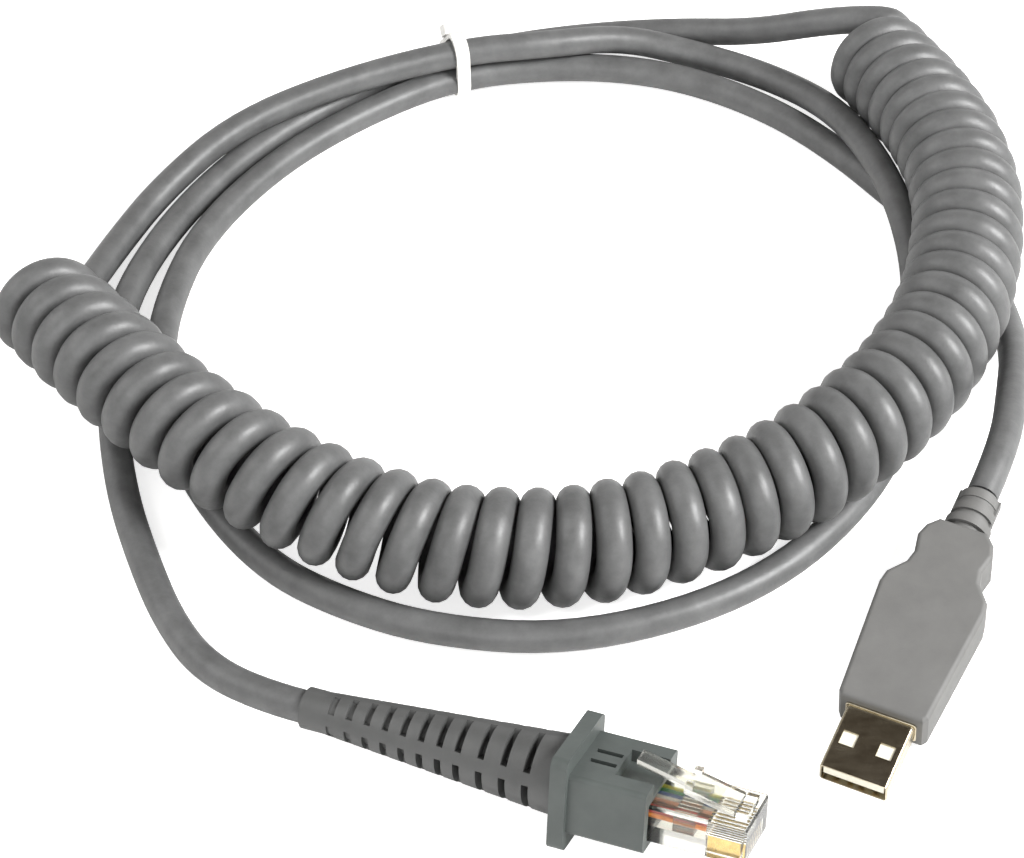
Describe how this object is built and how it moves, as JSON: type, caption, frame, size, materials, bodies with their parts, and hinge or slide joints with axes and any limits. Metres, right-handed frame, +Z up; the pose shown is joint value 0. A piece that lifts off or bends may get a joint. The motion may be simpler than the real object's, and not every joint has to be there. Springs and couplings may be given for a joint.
{
  "type": "coiled interface cable",
  "caption": "Grey coiled data cable stored as one tied loop, with a flat USB plug at one end and a latched modular plug in a ribbed boot at the other.",
  "frame": {"origin": "on the surface that the cable lies on, below the middle of the two plugs' common box", "axes": "+Z up; +Y from the plugs towards the far side of the loop; +X to the right when seen from the plugs' side"},
  "size_m": [0.1961, 0.2279, 0.0279],
  "materials": {
    "plated_steel": "nickel-plated steel, warm tone",
    "white_insulator": "satin white thermoplastic",
    "gold_plating": "thin gold plating",
    "inner_mould": "translucent inner mould",
    "plug_pvc": "fine matt grey PVC",
    "backshell_pvc": "satin grey-green PVC",
    "boot_pvc": "satin grey flexible PVC",
    "cord_pvc": "semi-matt grey PVC jacket",
    "tie_nylon": "white nylon",
    "clear_housing": "clear polycarbonate",
    "wire_red": "wire insulation",
    "wire_white": "wire insulation",
    "wire_green": "wire insulation",
    "wire_black": "wire insulation",
    "wire_orange": "wire insulation",
    "wire_brown": "wire insulation",
    "wire_peach": "wire insulation",
    "wire_blue": "wire insulation",
    "wire_yellow": "wire insulation"
  },
  "bodies": {
    "cable": {"usb_shell": "plated_steel", "usb_insulator": "white_insulator", "usb_contacts": "gold_plating", "usb_premould": "inner_mould", "usb_overmould": "plug_pvc", "usb_strain_relief": "plug_pvc", "usb_crimp_ring": "plated_steel", "usb_jacket_end": "cord_pvc", "usb_wire_red": "wire_red", "usb_wire_white": "wire_white", "usb_wire_green": "wire_green", "usb_wire_black": "wire_black", "rj_housing": "clear_housing", "rj_contacts": "gold_plating", "rj_load_bar": "clear_housing", "rj_backshell": "backshell_pvc", "rj_crimp_ring": "plated_steel", "rj_boot": "boot_pvc", "rj_jacket_end": "cord_pvc", "rj_wire_orange": "wire_orange", "rj_wire_red": "wire_red", "rj_wire_brown": "wire_brown", "rj_wire_peach": "wire_peach", "rj_wire_white": "wire_white", "rj_wire_blue": "wire_blue", "rj_wire_green": "wire_green", "rj_wire_yellow": "wire_yellow", "host_tail": "cord_pvc", "curly_section": "cord_pvc", "scanner_tail": "cord_pvc", "tie_band": "tie_nylon", "tie_head": "tie_nylon"},
    "latch": {"rj_latch": "clear_housing"}
  },
  "joints": [
    {"name": "latch_flex", "type": "hinge", "parent": "cable", "child": "latch", "pos_m": [0.01099, -0.03197, 0.01603], "axis": [-0.3795, -0.8781, 0.2915], "range_deg": [0, 8], "stiffness_Nm_per_rad": 0.25}
  ]
}
